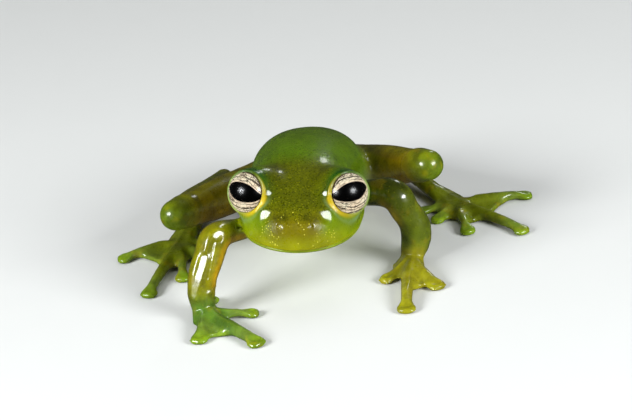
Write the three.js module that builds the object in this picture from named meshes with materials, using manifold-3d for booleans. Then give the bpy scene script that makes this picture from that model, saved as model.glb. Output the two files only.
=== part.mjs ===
// A glass frog as a still, life-size model, crouched on a level floor.
// Millimetres, +Z up. The snout points to -Y, the frog's right side lies to -X, and the feet rest at z = 0.
import * as THREE from 'three';
import { mergeVertices } from 'three/addons/utils/BufferGeometryUtils.js';
import Module from 'manifold-3d';

const wasm = await Module();
wasm.setup();

// Driving dimensions

const GAP = 0.25; // space left between two neighbouring pieces
const SNOUT_Y = -0.4; // the front of the upper lip
const VENT_Y = 31.4;
const LIP_HEIGHT = 6.5; // of the mouth line above the floor
const HEAD_HALF_WIDTH = 5.7;
const LIP_ARC_DEPTH = 7; // how far back the round of the lips reaches, seen from above
const JAW_ANGLE_Y = 9.4; // the corner of the mouth
const JAW_INSET = 0.4; // the lower jaw lies this far behind the upper lip in front
const NECK_Y = 11.2; // where the skull ends
const HEAD_ROLL = THREE.MathUtils.degToRad(5.4); // the frog's left cheek is held lower
const ROLL_AXIS_Z = 7.9; // height of the line that the head is tilted about
const ROLL_END_Y = 22; // the tilt has faded out along the back here
const HEAD_YAW = THREE.MathUtils.degToRad(3.5); // the snout points to the frog's right
const PELVIS_YAW = THREE.MathUtils.degToRad(2);

const EYE_RADIUS = 2.05;
const EYE_GAP = 0.15;
const EYE_CENTRE = { x: 4.17, y: 4.75, z: 3.55 }; // in the upright head, z above the mouth line
const EYE_SIDEWAYS = THREE.MathUtils.degToRad(35); // how far each eye looks to its side
const EYE_UPWARDS = THREE.MathUtils.degToRad(12);
const LID_PLANE = 0.8; // distance of the lid's edge from the centre of the eye
const LID_THICKNESS = 0.22;
const EYE_MOUND = { radius: 2.32, halfLength: 3.3, behind: 1.2 }; // its centre lies behind the eye's

const NOSTRIL = { x: 1.07, y: 0.25, z: 2.3, radius: 0.2, rim: 0.48, depth: 0.9 };
const EARDRUM = { x: 5.05, y: 8.3, z: 1.9, radius: 0.6, rim: 0.16 };

const DIGIT_RADIUS = 0.5;
const DISC = { halfWidth: 0.9, halfHeight: 0.4, length: 1.45, height: 0.3 };
const WEB_THICKNESS = 0.5;
const WEB_FLOOR = 0.1; // height of the web's underside
const FINGER_WIDTHS = [0.8, 0.85, 1.25, 1.15]; // shares of DIGIT_RADIUS, the innermost digit first
const TOE_WIDTHS = [0.8, 0.85, 0.95, 1.1, 1.0];

// Where the joints of each limb are. Fingers and toes list their tips, the innermost digit first.
const LIMBS = {
  right: {
    shoulder: [-3.9, 9.3, 5.7],
    elbow: [-7.7, 3.9, 6.65],
    forearmBow: 0.12,
    wrist: [-9.05, 2.45, 1.75],
    palm: [-8.65, 0.9, 0.62],
    fingers: [[-8.4, 5.4], [-4.0, 1.3], [-3.75, -5.2], [-9.4, -3.6]],
    hip: [-1.6, 26.5, 2.8],
    knee: [-11.6, 13.9, 5.0],
    heel: [-8.0, 29.6, 1.55],
    ankle: [-10.5, 22.4, 0.95],
    sole: [-11.7, 17.6, 0.6],
    toes: [[-8.3, 16.2], [-9.3, 13.0], [-11.3, 9.4], [-14.5, 6.8], [-17.8, 15.4]],
  },
  left: {
    shoulder: [5.0, 11.6, 6.4],
    elbow: [9.35, 8.9, 7.4],
    forearmBow: 0.45,
    wrist: [10.15, 9.1, 1.75],
    palm: [9.55, 7.7, 0.62],
    fingers: [[10.2, 12.4], [6.95, 5.0], [9.0, -1.6], [12.2, 2.55]],
    hip: [3.6, 26.5, 2.8],
    knee: [12.15, 13.8, 7.5],
    heel: [8.8, 29.4, 1.55],
    ankle: [12.2, 23.2, 0.95],
    sole: [14.3, 19.9, 0.6],
    toes: [[10.6, 19.6], [12.1, 16.8], [15.3, 13.5], [20.6, 12.5], [21.7, 20.9]],
  },
};

// How far the web runs up the two digits that it joins, as shares of their length, inner digit first.
const HAND_WEBS = [null, null, [0.4, 0.34], [0.62, 0.82]];
const FOOT_WEBS = [null, [0.7, 0.55], [0.74, 0.5], [0.74, 0.46], [0.48, 0.72]];

const SKIN = new THREE.MeshStandardMaterial({ color: 0x8fae2b, roughness: 0.35 });
const PAD_SKIN = new THREE.MeshStandardMaterial({ color: 0xc9bf3a, roughness: 0.35 });
const THIGH_SKIN = new THREE.MeshStandardMaterial({ color: 0x8a8a2c, roughness: 0.4 });
const EYE = new THREE.MeshStandardMaterial({ color: 0xe6dcc4, roughness: 0.08 });

// Solids and cuts

// The closed surface of a geometry as a solid whose faces point out.
function solid(geometry) {
  const bare = geometry.clone();
  bare.deleteAttribute('normal');
  bare.deleteAttribute('uv');
  const merged = mergeVertices(bare, 1e-4);
  const vertProperties = new Float32Array(merged.attributes.position.array);
  const corners = [];
  for (let i = 0; i < merged.index.count; i += 3) {
    const [a, b, c] = [0, 1, 2].map((k) => merged.index.getX(i + k));
    if (a !== b && b !== c && c !== a) corners.push(a, b, c);
  }
  const made = new wasm.Manifold(new wasm.Mesh({ numProp: 3, vertProperties, triVerts: new Uint32Array(corners) }));
  if (made.volume() > 0) return made;
  const turned = corners.map((_, i) => corners[i - (i % 3) + [0, 2, 1][i % 3]]);
  return new wasm.Manifold(new wasm.Mesh({ numProp: 3, vertProperties, triVerts: new Uint32Array(turned) }));
}

// The largest closed surface of a solid.
function largest(shape) {
  return shape.decompose().reduce((best, body) => (body.volume() > best.volume() ? body : best));
}

function join(shapes) {
  return shapes.reduce((whole, shape) => whole.add(shape));
}

function cutBy(shape, cutters) {
  return cutters.reduce((left, cutter) => left.subtract(cutter), shape);
}

function box(low, high) {
  const size = high.map((v, i) => v - low[i]);
  const made = new THREE.BoxGeometry(...size);
  made.translate(...low.map((v, i) => v + size[i] / 2));
  return made;
}

// A value for every y, on a smooth line through rows of [y, a, b, ...].
function smoothThrough(rows) {
  return (y) => {
    const last = rows.length - 1;
    let i = 0;
    while (i < last - 1 && y > rows[i + 1][0]) i += 1;
    const [before, from, to, after] = [rows[Math.max(i - 1, 0)], rows[i], rows[i + 1], rows[Math.min(i + 2, last)]];
    const span = to[0] - from[0];
    const t = THREE.MathUtils.clamp((y - from[0]) / span, 0, 1);
    return from.slice(1).map((value, k) => {
      const slopeIn = ((to[k + 1] - before[k + 1]) / (to[0] - before[0])) * span;
      const slopeOut = ((after[k + 1] - value) / (after[0] - from[0])) * span;
      const rise = to[k + 1] - value;
      return value + slopeIn * t + (3 * rise - 2 * slopeIn - slopeOut) * t * t + (slopeIn + slopeOut - 2 * rise) * t ** 3;
    });
  };
}

// A closed skin of rings: place(s, angle) gives a point of the wall, and place(s, null) the middle of an end.
function loft(rings, around, place) {
  const made = new THREE.CylinderGeometry(1, 1, 1, around, rings - 1);
  const at = made.attributes.position;
  for (let i = 0; i < at.count; i += 1) {
    const onWall = Math.hypot(at.getX(i), at.getZ(i)) > 0.5;
    const angle = onWall ? Math.atan2(at.getZ(i), at.getX(i)) : null;
    at.setXYZ(i, ...place(0.5 - at.getY(i), angle).toArray());
  }
  return made;
}

// What would reach below the floor is flat and rests on it.
function restingOnFloor(place, grow) {
  return place.setZ(Math.max(place.z, -grow));
}

// A limb with round ends through stations of [x, y, z, half width, half height], thicker all round by grow.
function limb(stations, { grow = 0, up = [0, 0, 1], rings = 9, around = 12, capRings = 3 } = {}) {
  const path = new THREE.CatmullRomCurve3(stations.map((s) => new THREE.Vector3(...s)), false, 'centripetal');
  const sizes = smoothThrough(stations.map((s, i) => [i / (stations.length - 1), s[3], s[4] ?? s[3]]));
  const total = rings + 2 * capRings;
  return solid(loft(total, around, (s, angle) => {
    const ring = Math.round(s * (total - 1));
    const along = THREE.MathUtils.clamp((ring - capRings) / (rings - 1), 0, 1);
    const intoCap = Math.max(capRings - ring, ring - (total - 1 - capRings), 0) / capRings;
    const sideOfEnd = ring < capRings ? -1 : 1;
    const tangent = path.getTangent(along);
    const side = new THREE.Vector3().crossVectors(tangent, new THREE.Vector3(...up)).normalize();
    const normal = new THREE.Vector3().crossVectors(side, tangent);
    const [halfWidth, halfHeight] = sizes(along).map((v) => v + grow);
    const bulge = Math.sin((intoCap * Math.PI) / 2) * sideOfEnd * Math.min(halfWidth, halfHeight);
    const centre = path.getPoint(along).addScaledVector(tangent, bulge);
    if (angle === null) return centre;
    const shrink = Math.max(Math.cos((intoCap * Math.PI) / 2), 0.06);
    const place = centre
      .addScaledVector(side, Math.cos(angle) * halfWidth * shrink)
      .addScaledVector(normal, Math.sin(angle) * halfHeight * shrink);
    return restingOnFloor(place, grow);
  }));
}

// The head and trunk

// Rows of [y, half width, height of the widest line, top, underside], from the cheeks back to the vent.
const CHEEK_Y = SNOUT_Y + LIP_ARC_DEPTH;
const TRUNK_ROWS = [
  [CHEEK_Y, HEAD_HALF_WIDTH - 0.06, LIP_HEIGHT, 11.35, 4.9],
  [8.6, HEAD_HALF_WIDTH, LIP_HEIGHT, 11.6, 4.4],
  [10.6, HEAD_HALF_WIDTH - 0.3, LIP_HEIGHT, 11.65, 3.8],
  [12.6, 5.15, 6.3, 11.5, 3.1],
  [15, 5.3, 5.9, 11.2, 2.2],
  [18, 5.5, 5.3, 10.6, 1.1],
  [21, 5.25, 4.6, 9.6, 0.2],
  [24, 4.6, 3.9, 8.0, -0.15],
  [27, 3.7, 3.4, 6.1, -0.05],
  [29.4, 2.5, 3.0, 4.7, 0.7],
  [30.8, 1.4, 2.85, 3.8, 1.7],
  [VENT_Y, 0.15, 2.8, 2.95, 2.65],
];
// Rows of [distance behind the lip, top, underside] of the snout, whose width follows the round of the lips.
const SNOUT_ROWS = [
  [0, 7.3, 6.35],
  [0.12, 8.0, 6.25],
  [0.35, 8.7, 6.15],
  [0.8, 9.3, 5.95],
  [1.6, 9.85, 5.65],
  [3.0, 10.4, 5.3],
  [4.8, 10.9, 5.1],
  [LIP_ARC_DEPTH, 11.35, 4.9],
];
const trunkSizes = smoothThrough(TRUNK_ROWS);
const snoutSizes = smoothThrough(SNOUT_ROWS);

function trunkSection(y) {
  if (y >= CHEEK_Y) return trunkSizes(y);
  const behind = y - SNOUT_Y;
  const round = Math.sqrt(1 - (1 - behind / LIP_ARC_DEPTH) ** 2);
  const [top, under] = snoutSizes(behind);
  return [(HEAD_HALF_WIDTH - 0.06) * round, LIP_HEIGHT, top, under];
}

// Moves a point of the straight, upright frog to where the tilt and turn of its head and back take it.
function posed(x, y, z) {
  const roll = HEAD_ROLL * (1 - THREE.MathUtils.smoothstep(y, NECK_Y, ROLL_END_Y));
  const yaw = THREE.MathUtils.lerp(HEAD_YAW, PELVIS_YAW, THREE.MathUtils.smoothstep(y, NECK_Y, VENT_Y));
  const axis = new THREE.Vector3(0, SNOUT_Y, ROLL_AXIS_Z);
  const place = new THREE.Vector3(x, y, z).sub(axis);
  return place.applyEuler(new THREE.Euler(0, roll, -yaw, 'ZYX')).add(axis);
}

// Moves a geometry made in the upright head's own axes to where the head is.
function onHead(geometry) {
  const back = new THREE.Matrix4().makeTranslation(0, SNOUT_Y, ROLL_AXIS_Z);
  const turn = new THREE.Matrix4().makeRotationFromEuler(new THREE.Euler(0, HEAD_ROLL, -HEAD_YAW, 'ZYX'));
  const toAxis = new THREE.Matrix4().makeTranslation(0, -SNOUT_Y, -ROLL_AXIS_Z);
  return geometry.applyMatrix4(back.multiply(turn).multiply(toAxis));
}

// Distances behind the lip at which the trunk has a ring, closer together where it is rounder.
function trunkStations() {
  const snout = [0.02, 0.08, 0.18, 0.36, 0.62, 1.0, 1.5, 2.2, 3.0, 3.9];
  const vent = [30.3, 31.0, 31.5, VENT_Y - SNOUT_Y];
  const between = Array.from({ length: 20 }, (_, i) => 5.0 + i * 1.28);
  return [...snout, ...between, ...vent].map((behind) => behind + SNOUT_Y);
}

// Head and body as one form from the snout to the vent.
function trunk(grow = 0) {
  const stations = trunkStations();
  const upperPower = 2 / 2.25; // 2 / 2 would be an ellipse
  const lowerPower = 2 / 2.05;
  return solid(loft(stations.length, 34, (s, angle) => {
    const ring = Math.round(s * (stations.length - 1));
    const y = stations[ring];
    const [halfWidth, level, top, under] = trunkSection(y);
    const endShare = Math.max(1 - (y - SNOUT_Y), 0) - Math.max(y - 30, 0) / (VENT_Y - 30);
    const reach = y - grow * endShare;
    if (angle === null) return posed(0, reach, level);
    const upper = Math.sin(angle) >= -1e-6;
    const power = upper ? upperPower : lowerPower;
    const inset = upper ? 0 : JAW_INSET * (1 - THREE.MathUtils.smoothstep(y, SNOUT_Y, JAW_ANGLE_Y));
    const across = Math.sign(Math.cos(angle)) * Math.abs(Math.cos(angle)) ** power * (halfWidth + grow - inset / 3);
    const high = Math.abs(Math.sin(angle)) ** power * (upper ? top - level + grow : -(level - under + grow));
    return restingOnFloor(posed(across, reach + inset, level + high), grow);
  }));
}

function eyeCentre(side) {
  return new THREE.Vector3(side * EYE_CENTRE.x, EYE_CENTRE.y, LIP_HEIGHT + EYE_CENTRE.z);
}

// The way that an eye looks.
function gaze(side) {
  const level = Math.cos(EYE_UPWARDS);
  return new THREE.Vector3(
    side * Math.sin(EYE_SIDEWAYS) * level,
    -Math.cos(EYE_SIDEWAYS) * level,
    Math.sin(EYE_UPWARDS),
  );
}

// Turns a geometry whose axis is +Z to look along a direction, and moves it.
function aimed(geometry, direction, place) {
  const turn = new THREE.Quaternion().setFromUnitVectors(new THREE.Vector3(0, 0, 1), direction.clone().normalize());
  return geometry.applyQuaternion(turn).translate(place.x, place.y, place.z);
}

function eyeball(side, grow = 0) {
  return solid(onHead(aimed(new THREE.SphereGeometry(EYE_RADIUS + grow, 20, 12), gaze(side), eyeCentre(side))));
}

function eyeMound(side) {
  const centre = eyeCentre(side).addScaledVector(gaze(side), -EYE_MOUND.behind);
  const { radius, halfLength } = EYE_MOUND;
  const egg = new THREE.SphereGeometry(1, 20, 13).rotateX(Math.PI / 2).scale(radius, radius, halfLength);
  return solid(onHead(aimed(egg, gaze(side), centre)));
}

function eyelid(side) {
  const centre = eyeCentre(side).addScaledVector(gaze(side), LID_PLANE);
  const ring = Math.sqrt((EYE_RADIUS + EYE_GAP) ** 2 - LID_PLANE ** 2);
  return solid(onHead(aimed(new THREE.TorusGeometry(ring, LID_THICKNESS, 6, 20), gaze(side), centre)));
}

function nostril(side) {
  const place = new THREE.Vector3(side * NOSTRIL.x, NOSTRIL.y, LIP_HEIGHT + NOSTRIL.z);
  const outward = new THREE.Vector3(side * 0.55, -1, 0.35);
  const rim = new THREE.SphereGeometry(NOSTRIL.rim, 9, 6);
  const pit = new THREE.CylinderGeometry(NOSTRIL.radius, NOSTRIL.radius, NOSTRIL.depth, 8).rotateX(Math.PI / 2);
  return {
    rim: solid(onHead(aimed(rim, outward, place))),
    pit: solid(onHead(aimed(pit, outward, place.clone().addScaledVector(outward, 0.3)))),
  };
}

function eardrum(side) {
  const place = new THREE.Vector3(side * EARDRUM.x, EARDRUM.y, LIP_HEIGHT + EARDRUM.z);
  const outward = new THREE.Vector3(side, -0.1, 0.45);
  return solid(onHead(aimed(new THREE.TorusGeometry(EARDRUM.radius, EARDRUM.rim, 6, 14), outward, place)));
}

// The head's upper half, the lower jaw and the body, parted by thin cuts at the mouth, the throat and the neck.
function partTrunk(whole) {
  const wide = 20;
  const mouth = solid(onHead(box([-wide, -5, LIP_HEIGHT - GAP / 2], [wide, NECK_Y + GAP, LIP_HEIGHT + GAP / 2])));
  const throat = solid(onHead(box([-wide, JAW_ANGLE_Y, -wide], [wide, JAW_ANGLE_Y + GAP, LIP_HEIGHT])));
  const neck = solid(onHead(box([-wide, NECK_Y, LIP_HEIGHT], [wide, NECK_Y + GAP, wide])));
  const pieces = cutBy(whole, [mouth, throat, neck]).decompose();
  const byFront = pieces.sort((a, b) => a.boundingBox().min[2] - b.boundingBox().min[2]);
  const torso = byFront.find((p) => p.boundingBox().max[1] > NECK_Y + 2);
  const [jaw, head] = byFront.filter((p) => p !== torso && p.volume() > 1);
  return { head, jaw, torso };
}

// Arms and legs

// The point a share t of the way from one joint to another.
function between(from, to, t) {
  return from.map((v, i) => v + (to[i] - v) * t);
}

function upperArm({ shoulder, elbow }, grow = 0) {
  return limb([[...shoulder, 1.35], [...between(shoulder, elbow, 0.5), 1.0], [...elbow, 1.08]], { grow });
}

function forearm({ elbow, wrist, forearmBow }, grow = 0) {
  const outward = Math.sign(elbow[0]) * forearmBow;
  const bowed = (t) => between(elbow, wrist, t).map((v, i) => (i === 0 ? v + outward * Math.sin(Math.PI * t) : v));
  return limb([[...elbow, 1.12], [...bowed(0.35), 1.36, 1.2], [...bowed(0.7), 1.38, 1.12], [...wrist, 1.15, 0.95]], {
    grow,
    up: [0, 1, 0],
  });
}

function thigh({ hip, knee }, grow = 0) {
  const along = (t) => between(hip, knee, t);
  return limb([[...hip, 2.35], [...along(0.35), 2.0], [...along(0.75), 1.6], [...knee, 1.4]], { grow, rings: 11 });
}

function shank({ knee, heel }, grow = 0) {
  const along = (t) => between(knee, heel, t);
  return limb([[...knee, 1.15], [...along(0.3), 1.3], [...along(0.7), 1.0], [...heel, 0.85]], { grow, rings: 11 });
}

function tarsus({ heel, ankle }, grow = 0) {
  return limb([[...heel, 0.82], [...between(heel, ankle, 0.5), 0.74], [...ankle, 0.85, 0.72]], { grow });
}

// The flat of the hand, from the wrist down to the roots of the fingers.
function palm({ wrist, palm: centre, fingers }, grow = 0) {
  const ahead = between(centre, [...fingers[2], centre[2]], 0.12);
  return limb([[...wrist, 0.95, 0.8], [...centre, 1.6, 0.74], [...ahead, 1.4, 0.62]], { grow });
}

// The flat of the foot, from the ankle to the roots of the toes.
function sole({ ankle, sole: centre, toes }, grow = 0) {
  const ahead = between(centre, [...toes[3], centre[2]], 0.1);
  const half = between(ankle, centre, 0.5);
  return limb([[...ankle, 0.88, 0.68], [...half, 1.2, 0.64], [...centre, 1.5, 0.6], [...ahead, 1.35, 0.56]], { grow });
}

// A finger or toe that runs low over the floor and ends in a wide, blunt disc.
function digit(root, tip, width, grow = 0) {
  const length = Math.hypot(tip[0] - root[0], tip[1] - root[1]);
  const radius = DIGIT_RADIUS * width;
  const disc = DISC.halfWidth * (0.45 + 0.5 * width);
  const at = (share, z) => [...between(root.slice(0, 2), tip, share), z];
  const beforeTip = (distance) => 1 - distance / length;
  return limb([
    [...at(0.1, 0.6), radius * 1.15],
    [...at(beforeTip(DISC.length) * 0.55, 0.66), radius],
    [...at(beforeTip(DISC.length * 1.1), 0.52), radius * 0.86, radius * 0.8],
    [...at(beforeTip(DISC.length * 0.55), 0.34), disc * 0.95, DISC.halfHeight],
    [...at(beforeTip(DISC.halfHeight), DISC.height), disc * 0.86, DISC.halfHeight * 0.9],
  ], { grow, rings: 11, around: 8, capRings: 2 });
}

// The skin between two digits, with a hollow front edge.
function web(root, inner, outer, [innerShare, outerShare]) {
  const onDigit = (tip, t) => new THREE.Vector2(root[0] + (tip[0] - root[0]) * t, root[1] + (tip[1] - root[1]) * t);
  const start = onDigit(inner, innerShare);
  const end = onDigit(outer, outerShare);
  const hollow = start.clone().add(end).multiplyScalar(0.5).lerp(new THREE.Vector2(root[0], root[1]), 0.24);
  const outline = new THREE.Shape();
  outline.moveTo(root[0], root[1]);
  outline.lineTo(start.x, start.y);
  outline.quadraticCurveTo(hollow.x, hollow.y, end.x, end.y);
  outline.closePath();
  const plate = new THREE.ExtrudeGeometry(outline, { depth: WEB_THICKNESS, bevelEnabled: false, curveSegments: 5 });
  return solid(plate.translate(0, 0, WEB_FLOOR));
}

// The digits of one hand or foot. Each carries the web to the digit inside it.
function digits(root, tips, widths, webs, base) {
  return tips.map((tip, i) => {
    const own = digit(root, tip, widths[i]);
    if (i === 0) return largest(own.subtract(base));
    const inner = digit(root, tips[i - 1], widths[i - 1], GAP);
    const fringe = webs[i] ? [web(root, tips[i - 1], tip, webs[i])] : [];
    return largest(cutBy(join([own, ...fringe]), [inner, base]));
  });
}

// The whole frog

const frog = new THREE.Group();

function addNode(name, shape, material) {
  const mesh = shape.getMesh();
  const geometry = new THREE.BufferGeometry();
  const points = new Float32Array(mesh.numVert * 3);
  for (let i = 0; i < mesh.numVert; i += 1) {
    points.set(mesh.vertProperties.subarray(i * mesh.numProp, i * mesh.numProp + 3), i * 3);
  }
  geometry.setAttribute('position', new THREE.BufferAttribute(points, 3));
  geometry.setIndex(new THREE.BufferAttribute(mesh.triVerts, 1));
  geometry.computeVertexNormals();
  const node = new THREE.Mesh(geometry, material);
  node.name = name;
  frog.add(node);
}

function addHeadAndTrunk() {
  const { head, jaw, torso } = partTrunk(trunk());
  const sides = [-1, 1];
  const nostrils = sides.map(nostril);
  const face = join([head, ...sides.flatMap((s) => [eyeMound(s), eyelid(s), eardrum(s)]), ...nostrils.map((n) => n.rim)]);
  const sockets = sides.map((s) => eyeball(s, EYE_GAP));
  addNode('head', largest(cutBy(face, [...sockets, ...nostrils.map((n) => n.pit)])), SKIN);
  addNode('lower_jaw', largest(jaw), SKIN);
  addNode('torso', largest(torso), SKIN);
  addNode('eye_right', eyeball(-1), EYE);
  addNode('eye_left', eyeball(1), EYE);
}

function addArm(name, pose, trunkRoom) {
  addNode(`upper_arm_${name}`, largest(cutBy(upperArm(pose), [trunkRoom])), SKIN);
  addNode(`forearm_${name}`, largest(cutBy(forearm(pose), [upperArm(pose, GAP), trunkRoom])), SKIN);
  addNode(`hand_${name}`, largest(cutBy(palm(pose), [forearm(pose, GAP)])), SKIN);
  const room = palm(pose, GAP).add(forearm(pose, GAP));
  digits(pose.palm, pose.fingers, FINGER_WIDTHS, HAND_WEBS, room).forEach((shape, i) => {
    addNode(`finger_${i + 1}_${name}`, shape, PAD_SKIN);
  });
}

function addLeg(name, pose, trunkRoom) {
  addNode(`thigh_${name}`, largest(cutBy(thigh(pose), [trunkRoom])), THIGH_SKIN);
  addNode(`shank_${name}`, largest(cutBy(shank(pose), [thigh(pose, GAP), trunkRoom])), THIGH_SKIN);
  addNode(`tarsus_${name}`, largest(cutBy(tarsus(pose), [shank(pose, GAP)])), SKIN);
  addNode(`foot_${name}`, largest(cutBy(sole(pose), [tarsus(pose, GAP), shank(pose, GAP)])), SKIN);
  const room = sole(pose, GAP).add(tarsus(pose, GAP));
  digits(pose.sole, pose.toes, TOE_WIDTHS, FOOT_WEBS, room).forEach((shape, i) => {
    addNode(`toe_${i + 1}_${name}`, shape, PAD_SKIN);
  });
}

addHeadAndTrunk();
const trunkRoom = trunk(GAP);
Object.entries(LIMBS).forEach(([name, pose]) => {
  addArm(name, pose, trunkRoom);
  addLeg(name, pose, trunkRoom);
});

// The origin lies on the floor, under the middle of the frog.
const bounds = new THREE.Box3().setFromObject(frog);
const middle = bounds.getCenter(new THREE.Vector3());
frog.children.forEach((node) => node.position.set(-middle.x, -middle.y, 0));

export default frog;
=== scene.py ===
# The skin, eyes, floor, lights and camera of a life-size glass frog, built round its solid model.
# Metres, +Z up. The snout points to -Y, and the frog's right side lies to -X. *_MM names are millimetres.
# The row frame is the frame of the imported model, also where it is measured in millimetres.
import math

import bmesh
import bpy
import numpy as np
from bpy.props import FloatProperty, FloatVectorProperty, PointerProperty
from mathutils import Matrix, Vector
from mathutils.bvhtree import BVHTree


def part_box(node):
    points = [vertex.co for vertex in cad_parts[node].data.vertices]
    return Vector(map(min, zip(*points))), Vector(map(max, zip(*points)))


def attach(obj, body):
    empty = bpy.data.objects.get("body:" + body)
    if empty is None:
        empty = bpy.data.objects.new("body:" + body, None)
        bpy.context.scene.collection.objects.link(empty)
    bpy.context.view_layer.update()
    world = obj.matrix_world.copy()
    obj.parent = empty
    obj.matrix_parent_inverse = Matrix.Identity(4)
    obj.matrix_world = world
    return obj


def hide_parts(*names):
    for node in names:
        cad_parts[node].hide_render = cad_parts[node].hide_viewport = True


bl_info = {
    "name": "Glass Frog",
    "version": (1, 0, 0),
    "blender": (4, 5, 0),
    "location": "3D View > Sidebar > Glass Frog",
    "description": "Skin, eyes and studio of a life-size glass frog",
    "category": "Object",
}

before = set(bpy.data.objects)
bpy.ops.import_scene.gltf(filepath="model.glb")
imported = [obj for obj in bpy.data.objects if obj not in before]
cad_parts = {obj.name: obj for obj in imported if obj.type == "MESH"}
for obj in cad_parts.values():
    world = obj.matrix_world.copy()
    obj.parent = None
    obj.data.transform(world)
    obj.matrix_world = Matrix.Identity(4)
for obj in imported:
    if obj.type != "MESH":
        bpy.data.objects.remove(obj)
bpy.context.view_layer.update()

MM = 0.001
FAR_MM = 1e9
SIDES = {"right": -1, "left": 1}
EYE_NODES = {name: f"eye_{name}" for name in SIDES}
FLESH = sorted(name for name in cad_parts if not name.startswith("eye_"))
DIGITS = [name for name in FLESH if name.startswith(("finger_", "toe_"))]
BODY = ("head", "lower_jaw", "torso")

# How the head is held
HEAD_ROLL = math.radians(5.4)
HEAD_YAW = math.radians(3.5)
HEAD_TURN = Matrix.Rotation(-HEAD_YAW, 3, "Z") @ Matrix.Rotation(HEAD_ROLL, 3, "Y")

# In the head's own axes a place is (to the frog's left, behind the lip's front, above the mouth line).
# Places that both sides have are given for the left.
EYE_BEHIND_MM = 5.15
EYE_ABOVE_MM = 3.55
EYE_SIDEWAYS = math.radians(31.5)
EYE_UPWARDS = math.radians(19)
HEAD_SIDE_MM = 6.3
MOUTH_CORNER_MM = 9.8
NOSTRIL_MM = (1.62, 0.62, 2.42)
NOSTRIL_FACING = (0.45, -0.8, 0.4)
EARDRUM_MM = (5.3, 8.7, 1.9)
# Low forms of the cheeks and snout: the height of each, half its width, and its path
CHEEK_FORMS_MM = {
    "fold over the ear": (0.16, 0.3, [(5.0, 6.6, 3.6), (5.5, 7.9, 3.05), (5.65, 9.0, 2.6), (5.6, 10.0, 1.7),
                                      (5.2, 10.8, 0.5)]),
    "hollow below the eye": (-0.1, 0.55, [(4.0, 2.6, 2.0), (3.4, 1.8, 1.5)]),
    "groove down the snout": (-0.05, 0.13, [(0, 1.4, 3.1), (0, 0.5, 2.4), (0, 0.35, 1.3)]),
}
EAR_RING_MM = 0.07
EAR_PIT_MM = 0.06
# The right cheek is leaner along this path, by this much
LEAN_CHEEK_MM = [(-5.6, 5.0, 0.2), (-5.7, 7.0, 0.3)]
LEANER_BY_MM = 0.42
# Path of the painted shade along the groove down the snout
SNOUT_GROOVE_SHADE_MM = [(0, 1.2, 3.0), (0, 0.4, 1.6)]
# Depths and heights of the mouth's line, the lip over it, the hollow under it, and a nostril's pit and rim
MOUTH_GROOVE_MM = 0.26
UPPER_LIP_MM = 0.09
UNDER_LIP_MM = 0.05
NOSTRIL_PIT_MM = 0.18
NOSTRIL_RIM_MM = 0.04
# The dark lobes on top of the snout, each with its reach
SNOUT_LOBES_MM = [((1.0, 1.1, 2.95), 0.42), ((1.75, 1.2, 2.85), 0.33)]

# The edge of the lids is a ring round the gaze. Angles round an eye are in degrees: 0 is away from the
# middle of the head, 90 is up. The ring of the lids is fullest at the inner angle.
IRIS_PLANE_MM = 0.92
IRIS_BULGE_MM = 0.1
GLOBE_MM = 1.99
CORNEA_BACK_MM = 0.8
LID_EDGE = math.radians(62.7)
LID_RING_MM = 2.14
LID_ROLL_MM = 0.26
LID_CREST_MM = 2.25
LID_SKIN_MM = 2.13
SOCKET_MM = 1.85
BEHIND_IRIS_MM = 0.6
# How far an eye reaches from its middle, and how far past the lids' edge the lids and their crest reach
EYE_REACH_MM = 3.2
LID_REACH_MM = 2.6
CREST_REACH_MM = 2.2
INNER_ANGLE = 205
TOP_ANGLE = 100
# Where the painted shadow of the lids on the iris's rim is widest
LID_SHADOW_ANGLE = 165
EYEBALL_SEGMENTS = 128
CORNEA_SUBDIVISIONS = 6

# Fusing the flesh nodes into one skin
CLOSE_MM = 0.16
VOXEL_MM = 0.26
WEB_THINNING_MM = 0.22
# Each smoothing pass moves points by a share, then back by that share and this much more.
SWELL = 0.03
# Round joints that close the gap between two lengths of a limb: place in the row frame, and radius
JOINTS_MM = [
    ((-9.61, -9.07, 6.65), 1.2), ((7.44, -4.07, 7.4), 1.16), ((-13.51, 0.93, 5.0), 1.4),
    ((10.24, 0.83, 7.5), 1.4), ((-9.91, 16.63, 1.55), 0.88), ((6.89, 16.43, 1.55), 0.88),
    ((-12.41, 9.43, 0.95), 0.72), ((10.29, 10.23, 0.95), 0.72), ((-10.96, -10.52, 1.75), 1.0),
    ((8.24, -3.87, 1.75), 1.0),
]

# The middle of each arm from shoulder to wrist in the row frame, with the arm's radius at each place
ARMS_MM = {
    "right": [
        (-6.3, -4.4, 5.75, 1.05), (-7.09, -5.71, 5.93, 1.0), (-8.02, -6.92, 6.35, 1.08),
        (-8.71, -7.86, 6.59, 1.22), (-9.23, -8.77, 6.6, 1.37), (-9.54, -9.01, 6.2, 1.4),
        (-9.82, -9.27, 5.54, 1.38), (-10.21, -9.72, 4.75, 1.36), (-10.68, -10.18, 3.75, 1.31),
        (-10.88, -10.52, 2.74, 1.28), (-11.04, -10.83, 1.8, 1.27),
    ],
    "left": [
        (3.9, -1.9, 6.55, 1.15), (5.4, -2.9, 6.95, 1.25), (6.45, -3.5, 7.05, 1.4), (7.26, -4.06, 6.65, 1.41),
        (7.75, -3.99, 5.47, 1.33), (8.15, -3.91, 4.68, 1.33), (8.53, -3.85, 3.71, 1.4),
        (8.53, -3.84, 2.37, 1.38), (8.3, -3.87, 1.6, 1.35),
    ],
}
# Each knee in the row frame: where the limb comes from, the joint, where it goes, and its radius at each
KNEES_MM = {
    "right": ((-3.51, 13.53, 2.8), (-13.51, 0.93, 5.0), (-9.91, 16.63, 1.55), (1.85, 1.27, 1.3)),
    "left": ((1.69, 13.53, 2.8), (10.24, 0.83, 7.5), (6.89, 16.43, 1.55), (1.85, 1.27, 1.3)),
}
KNEE_FILLET_MM = 0.6
# How far apart two places are that give a form's slope
STEP_MM = 0.01
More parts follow.
